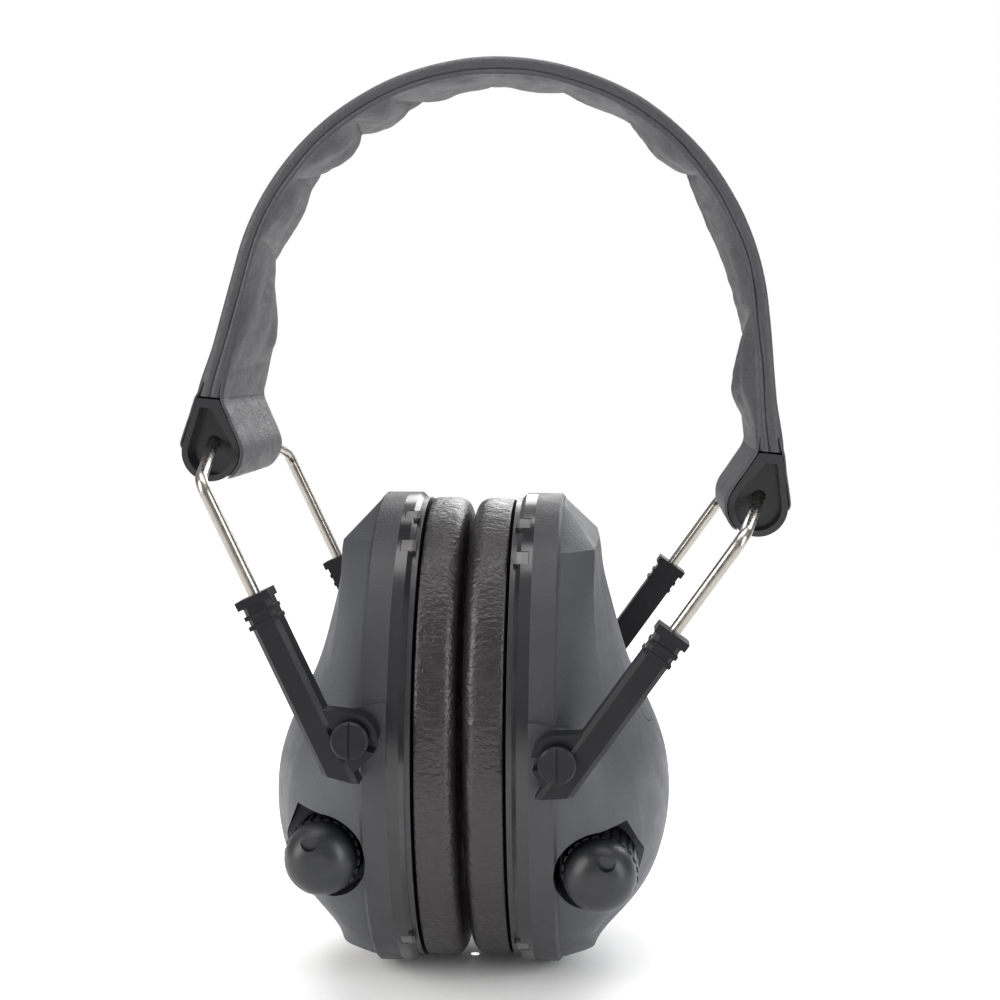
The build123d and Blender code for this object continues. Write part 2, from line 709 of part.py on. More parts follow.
def crown_strip(out_r, thick, half_angle):
    """Sketch of the short fixed middle of the band, as a straight-sided slab."""
    in_r = out_r - thick
    lean = radians(half_angle)
    with BuildSketch(BAND) as strip:
        with BuildLine():
            ThreePointArc(
                (-out_r * sin(lean), ARC_UP + out_r * cos(lean)), (0, ARC_UP + out_r),
                (out_r * sin(lean), ARC_UP + out_r * cos(lean)),
            )
            Line(
                (out_r * sin(lean), ARC_UP + out_r * cos(lean)),
                (in_r * sin(lean), ARC_UP + in_r * cos(lean)),
            )
            ThreePointArc(
                (in_r * sin(lean), ARC_UP + in_r * cos(lean)), (0, ARC_UP + in_r),
                (-in_r * sin(lean), ARC_UP + in_r * cos(lean)),
            )
            Line(
                (-in_r * sin(lean), ARC_UP + in_r * cos(lean)),
                (-out_r * sin(lean), ARC_UP + out_r * cos(lean)),
            )
        make_face()
    return strip.sketch


HALF_START = CROWN_HALF_ANGLE + CROWN_GAP_ANGLE
CAVITY_R = BAND_OUT_R - COVER_WALL
CAVITY_THICK = BAND_THICK - 2 * COVER_WALL
CAVITY_HALF_W = BAND_HALF_W - COVER_WALL
SPRING_OUT_R = CAVITY_R - 0.1
PAD_OUT_R = SPRING_OUT_R - SPRING_THICK - 0.1


def make_band_half(side):
    """Leatherette sleeve of one side, with its spring strip and foam pad."""
    name = SIDE_NAME[side]
    with BuildPart() as cover:
        sleeve = band_strip(side, BAND_OUT_R, BAND_THICK, COVER_FOOT, HALF_START)
        extrude(sleeve, amount=BAND_HALF_W, both=True)
        cavity = band_strip(side, CAVITY_R, CAVITY_THICK, COVER_FOOT - 1, HALF_START - 1)
        extrude(cavity, amount=CAVITY_HALF_W, both=True, mode=Mode.SUBTRACT)
    keep(cover, f"{name}_band_cover")
    with BuildPart() as spring:
        strip = band_strip(side, SPRING_OUT_R, SPRING_THICK, SPRING_FOOT, HALF_START)
        extrude(strip, amount=SPRING_HALF_W, both=True)
        with BuildSketch(rivet_plane(side)):
            with Locations(*RIVET_SPOTS):
                Circle(RIVET_R)
        extrude(amount=BAND_THICK, mode=Mode.SUBTRACT)
    keep(spring, f"{name}_band_spring")
    with BuildPart() as pad:
        foam = band_strip(side, PAD_OUT_R, PAD_THICK, PAD_FOOT, HALF_START)
        extrude(foam, amount=CAVITY_HALF_W - 0.3, both=True)
    keep(pad, f"{name}_band_pad")


def make_crown():
    """Fixed middle stretch of the band: sleeve, spring and pad."""
    with BuildPart() as cover:
        extrude(crown_strip(BAND_OUT_R, BAND_THICK, CROWN_HALF_ANGLE), amount=BAND_HALF_W, both=True)
        cavity = crown_strip(CAVITY_R, CAVITY_THICK, CROWN_HALF_ANGLE + 1)
        extrude(cavity, amount=CAVITY_HALF_W, both=True, mode=Mode.SUBTRACT)
    keep(cover, "crown_cover")
    with BuildPart() as spring:
        extrude(crown_strip(SPRING_OUT_R, SPRING_THICK, CROWN_HALF_ANGLE), amount=SPRING_HALF_W, both=True)
    keep(spring, "crown_spring")
    with BuildPart() as pad:
        foam = crown_strip(PAD_OUT_R, PAD_THICK, CROWN_HALF_ANGLE)
        extrude(foam, amount=CAVITY_HALF_W - 0.3, both=True)
    keep(pad, "crown_pad")


def rivet_plane(side):
    """Plane inside the band's foot that faces outward, where the rivets start."""
    lean = radians(FOOT_LEAN)
    across, up = foot_spot(side, PAD_OUT_R - PAD_THICK, RIVET_UP)
    outward = band_point(side * cos(lean), sin(lean)) - band_point(0, 0)
    return Plane(origin=band_point(across, up), x_dir=(0, side, 0), z_dir=outward)


def make_end_cap(side):
    """Teardrop cap on the band's end, recessed at both mouths and bored for the bail."""
    name = SIDE_NAME[side]
    inner_r = BAND_OUT_R - BAND_THICK + 0.3
    with BuildPart() as cap:
        with BuildSketch(BAND):
            with BuildLine():
                CenterArc((side * CAP_OUT, CAP_UP), CAP_R, 0, 360)
                Polyline(
                    foot_spot(side, inner_r, CAP_TOP), foot_spot(side, BAND_OUT_R, CAP_TOP),
                    foot_spot(side, BAND_OUT_R, CAP_TOP - 0.5),
                    foot_spot(side, inner_r, CAP_TOP - 0.5), close=True,
                )
            make_hull()
        extrude(amount=BAND_HALF_W, both=True)
        for toward_front in (1, -1):
            with BuildSketch(BAND.offset(toward_front * CAP_FLOOR)):
                with BuildLine():
                    CenterArc((side * CAP_OUT, CAP_UP), CAP_R - CAP_WALL, 0, 360)
                    Polyline(
                        foot_spot(side, inner_r + CAP_WALL, CAP_TOP - 2),
                        foot_spot(side, BAND_OUT_R - CAP_WALL, CAP_TOP - 2),
                        foot_spot(side, BAND_OUT_R - CAP_WALL, CAP_TOP - 2.3),
                        foot_spot(side, inner_r + CAP_WALL, CAP_TOP - 2.3), close=True,
                    )
                make_hull()
            extrude(amount=toward_front * 10, mode=Mode.SUBTRACT)
        # Tongue that reaches up inside the sleeve.
        with BuildSketch(BAND):
            with BuildLine():
                Polyline(
                    foot_spot(side, PAD_OUT_R - TONGUE_THICK, TONGUE_ROOT),
                    foot_spot(side, PAD_OUT_R, TONGUE_ROOT),
                    foot_spot(side, PAD_OUT_R, TONGUE_TOP),
                    foot_spot(side, PAD_OUT_R - TONGUE_THICK, TONGUE_TOP), close=True,
                )
            make_face()
        extrude(amount=TONGUE_HALF_W, both=True)
        with BuildSketch(BAND):
            with Locations((side * HINGE_SPAN, 0)):
                Circle(WIRE_R + FIT)
        extrude(amount=BAND_HALF_W, both=True, mode=Mode.SUBTRACT)
        with BuildSketch(rivet_plane(side)):
            with Locations(*RIVET_SPOTS):
                Circle(RIVET_R)
        extrude(amount=BAND_THICK, mode=Mode.SUBTRACT)
    keep(cap, f"{name}_end_cap")
    with BuildPart() as rivets:
        with BuildSketch(rivet_plane(side)):
            with Locations(*RIVET_SPOTS):
                Circle(RIVET_R)
        extrude(amount=SPRING_OUT_R - PAD_OUT_R + PAD_THICK)
    keep(rivets, f"{name}_cap_rivets")


for cup_side in SIDES:
    make_shell(cup_side)
    make_battery_door(cup_side)
    make_rim(cup_side)
    make_seal_plate(cup_side)
    make_cushion(cup_side)
    make_liner(cup_side)
    make_baffle(cup_side)
    make_speaker(cup_side)
    make_circuit_board(cup_side)
    make_volume_control(cup_side)
    make_microphone(cup_side)
    make_batteries(cup_side)
    make_pivot_pins(cup_side)
    make_case_screws(cup_side)
    make_knob(cup_side)
    make_arm(cup_side, 1)
    make_arm(cup_side, -1)
    make_bail(cup_side)
    make_band_half(cup_side)
    make_end_cap(cup_side)
make_crown()
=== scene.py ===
"""Looks of the folding electronic earmuff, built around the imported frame.

Metres. X runs from ear to ear, Y away from the knobs, Z up. Lengths given in
millimetres are turned into metres by MM.
"""
import math

import bpy
from mathutils import Matrix, Vector, noise


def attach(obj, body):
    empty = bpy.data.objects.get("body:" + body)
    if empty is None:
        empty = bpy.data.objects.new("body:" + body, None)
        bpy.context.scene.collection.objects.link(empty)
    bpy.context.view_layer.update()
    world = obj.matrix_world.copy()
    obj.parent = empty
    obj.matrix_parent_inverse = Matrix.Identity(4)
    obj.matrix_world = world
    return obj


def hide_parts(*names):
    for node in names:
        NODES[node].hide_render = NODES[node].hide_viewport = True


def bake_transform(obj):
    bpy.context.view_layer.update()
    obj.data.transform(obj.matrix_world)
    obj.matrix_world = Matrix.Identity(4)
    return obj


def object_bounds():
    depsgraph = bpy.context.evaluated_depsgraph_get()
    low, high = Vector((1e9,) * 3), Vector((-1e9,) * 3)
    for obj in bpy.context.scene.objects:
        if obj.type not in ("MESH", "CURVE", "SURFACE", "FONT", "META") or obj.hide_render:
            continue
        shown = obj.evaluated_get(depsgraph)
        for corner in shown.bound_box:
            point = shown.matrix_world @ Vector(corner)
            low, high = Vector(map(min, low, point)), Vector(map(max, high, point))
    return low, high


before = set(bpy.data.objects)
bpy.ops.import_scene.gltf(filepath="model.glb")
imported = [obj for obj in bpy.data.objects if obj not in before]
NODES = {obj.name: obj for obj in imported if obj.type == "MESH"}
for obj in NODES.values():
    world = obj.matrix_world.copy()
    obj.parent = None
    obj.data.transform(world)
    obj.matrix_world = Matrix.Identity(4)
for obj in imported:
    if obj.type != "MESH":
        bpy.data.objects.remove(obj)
CAD_LOW, CAD_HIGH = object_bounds()
MM = 0.001
SIDES = {"left": -1, "right": 1}
for imported in list(bpy.data.materials):
    bpy.data.materials.remove(imported)


# ------------------------------------------------------------------ camera
CAMERA_PLACE = Vector((0.0353, -0.3926, 0.0856))
CAMERA_YAW = math.radians(4.3)       # turned towards -X from +Y
CAMERA_DOWN = math.radians(4.9)
CAMERA_LENS = 62.64

camera = bpy.data.objects.new("camera", bpy.data.cameras.new("camera"))
bpy.context.scene.collection.objects.link(camera)
camera.data.lens = CAMERA_LENS
camera.data.sensor_width = 36.0
camera.data.clip_start = 0.01
camera.data.clip_end = 20.0
camera.location = CAMERA_PLACE
aim = Vector((
    -math.sin(CAMERA_YAW) * math.cos(CAMERA_DOWN),
    math.cos(CAMERA_YAW) * math.cos(CAMERA_DOWN),
    -math.sin(CAMERA_DOWN),
))
camera.rotation_mode = "QUATERNION"
camera.rotation_quaternion = aim.to_track_quat("-Z", "Y")
bpy.context.scene.camera = camera


# --------------------------------------------------------------- materials
class Finish:
    """A node material, put together from noise in the object's own metres."""

    def __init__(self, name, colour, roughness, metallic=0.0, **sockets):
        self.material = bpy.data.materials.new(name)
        self.material.use_nodes = True
        self.tree = self.material.node_tree
        self.shader = self.tree.nodes["Principled BSDF"]
        self.place = self.node("ShaderNodeTexCoord").outputs["Object"]
        self.put("Base Color", (*colour, 1.0))
        self.put("Roughness", roughness)
        self.put("Metallic", metallic)
        for socket, value in sockets.items():
            self.put(socket.replace("_", " "), value)

    def node(self, kind, **settings):
        made = self.tree.nodes.new(kind)
        for key, value in settings.items():
            setattr(made, key, value)
        return made

    def put(self, socket, value):
        self.shader.inputs[socket].default_value = value

    def wire(self, output, target):
        self.tree.links.new(output, target)

    def stretched(self, scale):
        """Coordinates scaled differently along X, Y and Z."""
        mapping = self.node("ShaderNodeMapping")
        self.wire(self.place, mapping.inputs["Vector"])
        mapping.inputs["Scale"].default_value = scale
        return mapping.outputs["Vector"]

    def noise(self, size, detail=2.0, stretch=None, distortion=0.0):
        """Smooth noise whose features are about size metres across."""
        made = self.node("ShaderNodeTexNoise")
        self.wire(self.stretched(stretch) if stretch else self.place, made.inputs["Vector"])
        made.inputs["Scale"].default_value = 1.0 / size
        made.inputs["Detail"].default_value = detail
        made.inputs["Distortion"].default_value = distortion
        return made.outputs["Fac"]

    def cells(self, size):
        """Pebbles about size metres across."""
        made = self.node("ShaderNodeTexVoronoi", feature="F1")
        self.wire(self.place, made.inputs["Vector"])
        made.inputs["Scale"].default_value = 1.0 / size
        return made.outputs["Distance"]

    def spread(self, factor, low, high, from_low=0.35, from_high=0.65):
        """Factor carried from one range to another."""
        made = self.node("ShaderNodeMapRange")
        self.wire(factor, made.inputs["Value"])
        for socket, value in (
            ("From Min", from_low), ("From Max", from_high), ("To Min", low), ("To Max", high),
        ):
            made.inputs[socket].default_value = value
        return made.outputs["Result"]

    def tint(self, factor, dark, light):
        """Colour that drifts between dark and light."""
        made = self.node("ShaderNodeMix", data_type="RGBA")
        self.wire(factor, made.inputs["Factor"])
        made.inputs["A"].default_value = (*dark, 1.0)
        made.inputs["B"].default_value = (*light, 1.0)
        self.wire(made.outputs["Result"], self.shader.inputs["Base Color"])
        return made

    def rough(self, factor, low, high):
        self.wire(self.spread(factor, low, high), self.shader.inputs["Roughness"])

    def bump(self, height, depth):
        """Relief of the given depth in metres, on top of any before it."""
        made = self.node("ShaderNodeBump")
        made.inputs["Strength"].default_value = 1.0
        made.inputs["Distance"].default_value = depth
        self.wire(height, made.inputs["Height"])
        previous = self.shader.inputs["Normal"]
        if previous.links:
            self.wire(previous.links[0].from_socket, made.inputs["Normal"])
        self.wire(made.outputs["Normal"], previous)

    def band_of_x(self, near, far):
        """1 where the distance from the midplane is between near and far."""
        split = self.node("ShaderNodeSeparateXYZ")
        self.wire(self.place, split.inputs["Vector"])
        size = self.node("ShaderNodeMath", operation="ABSOLUTE")
        self.wire(split.outputs["X"], size.inputs[0])
        return self.spread(size.outputs[0], 1.0, 0.0, near, far)


def shell_plastic():
    """Spark-eroded grey plastic with the smoother flange nearest the rim."""
    finish = Finish("shell_plastic", (0.07, 0.07, 0.075), 0.5)
    drift = finish.noise(0.02, 3.0)
    body = finish.tint(drift, (0.031, 0.0325, 0.039), (0.043, 0.045, 0.053))
    flange = finish.band_of_x(0.0203, 0.0207)
    blend = finish.node("ShaderNodeMix", data_type="RGBA")
    finish.wire(flange, blend.inputs["Factor"])
    finish.wire(body.outputs["Result"], blend.inputs["A"])
    blend.inputs["B"].default_value = (0.022, 0.022, 0.026, 1.0)
    finish.wire(blend.outputs["Result"], finish.shader.inputs["Base Color"])
    finish.rough(finish.noise(0.006, 3.0), 0.46, 0.56)
    finish.bump(finish.noise(0.0006, 2.0), 0.00010)
    finish.bump(finish.noise(0.004, 2.0), 0.00005)
    return finish.material


def gloss_black():
    finish = Finish("gloss_black", (0.012, 0.012, 0.013), 0.2)
    finish.tint(finish.noise(0.01), (0.010, 0.010, 0.011), (0.017, 0.017, 0.019))
    finish.rough(finish.noise(0.008, 2.0), 0.16, 0.22)
    finish.bump(finish.noise(0.0015, 3.0), 0.000008)
    return finish.material


def black_plastic():
    finish = Finish("black_plastic", (0.02, 0.02, 0.022), 0.42)
    finish.tint(finish.noise(0.008), (0.017, 0.017, 0.019), (0.026, 0.026, 0.029))
    finish.rough(finish.noise(0.002, 3.0), 0.36, 0.5)
    finish.bump(finish.noise(0.0006, 2.0), 0.00002)
    return finish.material


def plate_plastic():
    """Seal plate: plain black, with a painted highlight: the snap tabs that stand out of it are
    painted pale grey.
    """
    finish = Finish("plate_plastic", (0.02, 0.02, 0.022), 0.35)
    black = finish.tint(finish.noise(0.008), (0.014, 0.014, 0.016), (0.022, 0.022, 0.025))
    # Painted highlight: beyond 11.5 mm from the midplane the plate is painted pale grey, for the
    # light the glossy rim catches at its tabs.
    tab_highlight_mix = finish.node("ShaderNodeMix", data_type="RGBA")
    finish.wire(finish.band_of_x(0.0113, 0.0115), tab_highlight_mix.inputs["Factor"])
    tab_highlight_mix.inputs["A"].default_value = (0.085, 0.082, 0.078, 1.0)
    finish.wire(black.outputs["Result"], tab_highlight_mix.inputs["B"])
    finish.wire(tab_highlight_mix.outputs["Result"], finish.shader.inputs["Base Color"])
    finish.rough(finish.noise(0.002, 3.0), 0.28, 0.42)
    finish.bump(finish.noise(0.0006, 2.0), 0.00001)
    return finish.material


def satin_black():
    """Arms and pins: satin, with fine rubbing marks along their length."""
    finish = Finish("satin_black", (0.007, 0.007, 0.0085), 0.36, Specular_IOR_Level=0.22)
    finish.tint(finish.noise(0.012, 4.0), (0.004, 0.004, 0.005), (0.009, 0.009, 0.011))
    finish.rough(finish.noise(0.004, 5.0, stretch=(1.0, 1.0, 0.35)), 0.28, 0.44)
    finish.bump(finish.noise(0.0007, 2.0), 0.000018)
    return finish.material


def knob_black():
    finish = Finish("knob_black", (0.012, 0.0125, 0.013), 0.38, Specular_IOR_Level=0.42)
    finish.tint(finish.noise(0.01, 3.0), (0.007, 0.0073, 0.0088), (0.014, 0.0145, 0.0172))
    finish.rough(finish.noise(0.003, 3.0), 0.34, 0.44)
    finish.bump(finish.noise(0.0005, 2.0), 0.000015)
    return finish.material


def cushion_leatherette():
    """Black-brown leatherette, wrinkled across the cushion, with a fine grain."""
    finish = Finish("cushion_leatherette", (0.03, 0.026, 0.027), 0.4)
    finish.tint(finish.noise(0.012, 4.0), (0.009, 0.0070, 0.0080), (0.017, 0.0138, 0.0155))
    finish.rough(finish.noise(0.004, 4.0), 0.28, 0.40)
    wrinkle = finish.noise(0.0009, 3.0, stretch=(0.62, 1.0, 1.0), distortion=0.4)
    finish.bump(finish.spread(wrinkle, 0.0, 1.0, 0.3, 0.7), 0.00013)
    finish.bump(finish.noise(0.00035, 2.0), 0.00004)
    return finish.material


def band_leatherette():
    """Charcoal leatherette with a fine pebble grain."""
    finish = Finish("band_leatherette", (0.08, 0.08, 0.084), 0.55)
    finish.tint(finish.noise(0.015, 4.0), (0.025, 0.024, 0.028), (0.040, 0.039, 0.044))
    finish.rough(finish.noise(0.003, 4.0), 0.5, 0.62)
    finish.bump(finish.cells(0.0007), 0.00010)
    finish.bump(finish.noise(0.0003, 2.0), 0.00003)
    return finish.material


def foam():
    finish = Finish("foam", (0.03, 0.03, 0.032), 0.95)
    finish.tint(finish.noise(0.0012, 3.0), (0.016, 0.016, 0.017), (0.045, 0.045, 0.048))
    finish.bump(finish.cells(0.0008), 0.0004)
    return finish.material


def stainless_wire():
    """Drawn wire: faint lines round it and slightly warm."""
    finish = Finish("stainless_wire", (0.32, 0.30, 0.27), 0.24, metallic=1.0)
    finish.tint(finish.noise(0.006, 3.0), (0.26, 0.243, 0.218), (0.38, 0.36, 0.33))
    finish.rough(finish.noise(0.0006, 4.0, stretch=(1.0, 1.0, 0.15)), 0.18, 0.34)
    finish.bump(finish.noise(0.0004, 2.0, stretch=(1.0, 1.0, 0.1)), 0.000006)
    return finish.material


def plated_steel():
    finish = Finish("plated_steel", (0.62, 0.62, 0.62), 0.28, metallic=1.0)
    finish.rough(finish.noise(0.0012, 4.0), 0.2, 0.4)
    finish.tint(finish.noise(0.004, 3.0), (0.55, 0.55, 0.54), (0.68, 0.68, 0.67))
    finish.bump(finish.noise(0.0005, 2.0), 0.000008)
    return finish.material


def circuit_green():
    finish = Finish("circuit_green", (0.02, 0.16, 0.07), 0.35)
    finish.tint(finish.cells(0.003), (0.012, 0.10, 0.045), (0.03, 0.2, 0.09))
    finish.bump(finish.cells(0.003), 0.00005)
    return finish.material


def battery_jacket():
    finish = Finish("battery_jacket", (0.5, 0.42, 0.12), 0.3, metallic=0.4)
    finish.tint(finish.noise(0.01, 3.0), (0.42, 0.35, 0.10), (0.55, 0.46, 0.15))
    finish.rough(finish.noise(0.002, 3.0), 0.25, 0.38)
    return finish.material


MATERIALS = {
    made.name: made
    for made in (
        shell_plastic(), gloss_black(), black_plastic(), plate_plastic(), satin_black(),
        knob_black(),
        cushion_leatherette(), band_leatherette(), foam(), stainless_wire(),
        plated_steel(), circuit_green(), battery_jacket(),
    )
}

NODE_SLOTS = {
    "shell": "shell_plastic", "battery_door": "shell_plastic", "rim": "gloss_black",
    "seal_plate": "plate_plastic", "cushion": "cushion_leatherette", "liner": "foam",
    "baffle": "black_plastic", "speaker": "black_plastic", "circuit_board": "circuit_green",
    "volume_control": "plated_steel", "microphone": "plated_steel", "mic_screen": "foam",
    "batteries": "battery_jacket", "battery_contacts": "plated_steel",
    "pivot_pins": "satin_black", "case_screws": "plated_steel", "knob": "knob_black",
    "volume_shaft": "plated_steel", "front_arm": "satin_black", "rear_arm": "satin_black",
    "bail": "stainless_wire", "band_cover": "band_leatherette",
    "band_spring": "plated_steel", "band_pad": "foam", "end_cap": "gloss_black",
    "cap_rivets": "plated_steel", "crown_cover": "band_leatherette",
    "crown_spring": "plated_steel", "crown_pad": "foam",
}
for node_name, node in NODES.items():
    short = node_name.split("_", 1)[1] if node_name.split("_")[0] in SIDES else node_name
    node.data.materials.clear()
    node.data.materials.append(MATERIALS[NODE_SLOTS[short]])


# ------------------------------------------------------------- mesh helpers
def add_piece(name, points, faces, slot, smooth=True):
    """A mesh piece from its points and faces, with its material."""
    mesh = bpy.data.meshes.new(name)
    mesh.from_pydata([tuple(p) for p in points], [], faces)
    mesh.update()
    if smooth:
        mesh.polygons.foreach_set("use_smooth", [True] * len(mesh.polygons))
    piece = bpy.data.objects.new(name, mesh)
    bpy.context.scene.collection.objects.link(piece)
    mesh.materials.append(MATERIALS[slot])
    return piece


def skin(rows, closed_along=False, cap_ends=False):
    """Points and faces of a skin over closed rows of points, each the same length."""
    width = len(rows[0])
    points = [p for row in rows for p in row]
    faces = []
    row_count = len(rows)
    for i in range(row_count if closed_along else row_count - 1):
        for j in range(width):
            a, b = i * width, ((i + 1) % row_count) * width
            k = (j + 1) % width
            faces.append((a + j, a + k, b + k, b + j))
    if cap_ends:
        faces.append(tuple(reversed(range(width))))
        faces.append(tuple((row_count - 1) * width + j for j in range(width)))
    return points, faces


def smoothstep(low, high, value):
    """0 below low, 1 above high, and a smooth rise between."""
    t = min(max((value - low) / (high - low), 0.0), 1.0)
    return t * t * (3 - 2 * t)


# -------------------------------------------------------------- headband
BAND_PLACE = Vector((3.6, 0.0, 60.1)) * MM
BAND_ROLL = math.radians(5.4)
BAND_ACROSS = Vector((math.cos(BAND_ROLL), 0.0, -math.sin(BAND_ROLL)))
BAND_UP = Vector((math.sin(BAND_ROLL), 0.0, math.cos(BAND_ROLL)))
BAND_DEEP = Vector((0.0, 1.0, 0.0))
ARC_UP = 29.2
BAND_OUT_R = 58.3
BAND_HALF_W = 22.0
BAND_THICK = 5.2
FOOT_LEAN = math.radians(11.0)       # the band's feet lean outward
ARCH_LENGTH = BAND_OUT_R * (math.pi / 2 - FOOT_LEAN)
COVER_FOOT = 9.9                     # lower end of the sleeve, above the bail's axis
FOOT_LENGTH = (ARC_UP + BAND_OUT_R * math.sin(FOOT_LEAN) - COVER_FOOT) / math.cos(FOOT_LEAN)
SLEEVE_END = ARCH_LENGTH + FOOT_LENGTH
FOOT_FLARE = 0.55                    # the sleeve's foot spreads over its flaps


def band_place(across, up, deep):
    """Place in the room of a point in the band's own millimetres."""
    return BAND_PLACE + (BAND_ACROSS * across + BAND_UP * up + BAND_DEEP * deep) * MM


CROWN_FLARE = 4.2                    # rear edge beyond the front edge, at the crown
SIDE_FLARE = {-1: 4.8, 1: 1.4}       # and down each side


def rear_flare(side, along):
    """How far the slack leather stands out at its rear edge, beyond the front edge."""
    top = CROWN_FLARE + (SIDE_FLARE[side] - CROWN_FLARE) * smoothstep(0.0, 60.0, along)
    return top * (1 - smoothstep(ARCH_LENGTH - 6.0, SLEEVE_END - 10.0, along))


def on_band(side, along, depth, deep):
    """Point at an arc length from the crown, a depth under the outer face."""
    spread = rear_flare(side, along) * (deep / BAND_HALF_W + 1) / 2
    radius = BAND_OUT_R - depth + spread
    if along <= ARCH_LENGTH:
        turn = along / BAND_OUT_R
        return band_place(side * radius * math.sin(turn), ARC_UP + radius * math.cos(turn), deep)
    share = (along - ARCH_LENGTH) / FOOT_LENGTH
    run = share * (FOOT_LENGTH - depth * math.tan(FOOT_LEAN))
    across = radius * math.cos(FOOT_LEAN) + run * math.sin(FOOT_LEAN)
    up = ARC_UP + radius * math.sin(FOOT_LEAN) - run * math.cos(FOOT_LEAN)
    return band_place(side * across, up, deep)


# Where the padded lining is pinched: distance from the crown, slant of the crease
# over half the width, and how far the stretch that follows it bellies out.
CREASES = {
    "left": (
        (-14.0, 1.5, 0.9), (8.0, 2.0, 1.3), (27.6, -2.0, 2.2), (40.8, 2.0, 2.4),
        (57.0, -2.0, 2.3), (76.7, 2.5, 1.3), (104.0, -1.5, 0.8), (125.0, 0.0, 0.0),
    ),
    "right": (
        (-8.0, -2.0, 1.3), (9.0, -1.5, 1.0), (25.8, 2.0, 2.2), (45.0, -2.5, 2.4),
        (84.0, 3.0, 2.4), (125.0, 0.0, 0.0),
    ),
}
SEAM_DEPTH = 2.7                     # weld between the outer skin and the lining
SLEEVE_ROWS = 300
OUTER_STEPS = 22
LINING_STEPS = 34
STRIP_ROWS = 80


def belly(name, along, deep):
    """How far the lining stands in from the straight band, in millimetres."""
    across = deep / BAND_HALF_W
    spots = [(at + slant * across, size) for at, slant, size in CREASES[name]]
    for (start, size), (end, _) in zip(spots, spots[1:]):
        if start <= along < end:
            u = (along - start) / (end - start)
            lobe = max(1 - (2 * u - 1) ** 2, 0.0) ** 0.62
            lean = 1 + 0.25 * math.sin(2 * math.pi * u + 3 * start)
            return size * lobe * lean
    return 0.0


def lining_depth(name, along, deep):
    """Depth of the inner face, with its bellies, pinches and small wrinkles."""
    side = SIDES[name]
    own = belly(name, along, deep)
    other = "right" if name == "left" else "left"
    mirrored = belly(other, -along, deep)
    blend = smoothstep(-9.0, 9.0, along)
    swell = own * blend + mirrored * (1 - blend)
    edge = 1 - abs(deep / (BAND_HALF_W - 0.6)) ** 5
    fade = 1 - smoothstep(98.0, 108.0, along)
    base = BAND_THICK - 1.3 + 0.8 * smoothstep(84.0, 98.0, along)
    wrinkle = noise.noise(Vector((side * along * 0.16, deep * 0.07, 3.1)))
    fine = noise.noise(Vector((side * along * 0.5, deep * 0.16, 7.7)))
    return base + edge * (swell * fade + 0.55 + 0.35 * wrinkle + 0.16 * fine)


def band_section(name, along):
    """Points round the sleeve at one place along it, as (depth, deep) pairs."""
    side = SIDES[name]
    flare = FOOT_FLARE * smoothstep(SLEEVE_END - 12.0, SLEEVE_END - 1.5, along)
    wave = 0.35 * noise.noise(Vector((side * along * 0.07, 0.0, 1.3)))
    seam = SEAM_DEPTH + wave
    half = BAND_HALF_W
    loop = []
    for i in range(OUTER_STEPS + 1):
        deep = (half - 1.1) * (1 - 2 * i / OUTER_STEPS)
        crown = 0.25 * (deep / half) ** 2
        dimple = 0.12 * noise.noise(Vector((side * along * 0.09, deep * 0.12, 9.0)))
        loop.append((crown + dimple - flare, deep))
    edge = [
        (0.45, half - 0.45), (0.95, half - 0.12), (1.6, half), (seam - 0.45, half - 0.02),
        (seam - 0.16, half - 0.12), (seam, half - 0.55), (seam + 0.16, half - 0.14),
        (seam + 0.5, half + 0.12), (seam + 1.1, half + 0.18),
    ]
    puff = 0.35 * noise.noise(Vector((side * along * 0.11, 5.0, 2.2)))
    loop += [(d, -w) for d, w in edge[:6]] + [(d, -(w + puff)) for d, w in edge[6:]]
    for i in range(LINING_STEPS + 1):
        deep = -(half - 0.45) + 2 * (half - 0.45) * i / LINING_STEPS
        loop.append((lining_depth(name, along, deep) + flare, deep))
    rear = edge[:6] + [(d, w + puff) for d, w in edge[6:]]
    return loop + rear[::-1]


def make_sleeve(name):
    """Leatherette sleeve of half the band, from the crown to its end cap."""
    side = SIDES[name]
    rows = []
    for i in range(SLEEVE_ROWS + 1):
        along = SLEEVE_END * i / SLEEVE_ROWS
        rows.append([on_band(side, along, d, w) for d, w in band_section(name, along)])
    if side > 0:
        rows = [list(reversed(row)) for row in rows]
    points, faces = skin(rows)
    width = len(rows[0])
    faces.append(tuple(SLEEVE_ROWS * width + j for j in range(width)))
    piece = add_piece(f"{name}_sleeve", points, faces, "band_leatherette")
    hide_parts(f"{name}_band_cover", "crown_cover")
    return piece


def make_strip(name, node, slot, near, far, half_w, end, rounding):
    """Spring or pad inside the sleeve, which bends with it."""
    side = SIDES[name]
    rows = []
    for i in range(STRIP_ROWS + 1):
        along = end * i / STRIP_ROWS
        loop = [
            (near + rounding, half_w), (near, half_w - rounding), (near, 0.0),
            (near, -half_w + rounding), (near + rounding, -half_w), (far - rounding, -half_w),
            (far, -half_w + rounding), (far, 0.0), (far, half_w - rounding),
            (far - rounding, half_w),
        ]
        rows.append([on_band(side, along, d, w) for d, w in loop])
    if side > 0:
        rows = [list(reversed(row)) for row in rows]
    points, faces = skin(rows, cap_ends=True)
    piece = add_piece(f"{name}_{node}_bent", points, faces, slot, smooth=False)
    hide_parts(f"{name}_band_{node}", f"crown_{node}")
    return piece


def bend_with_band(piece):
    """Bakes the transform of a headband piece into its mesh."""
    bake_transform(piece)


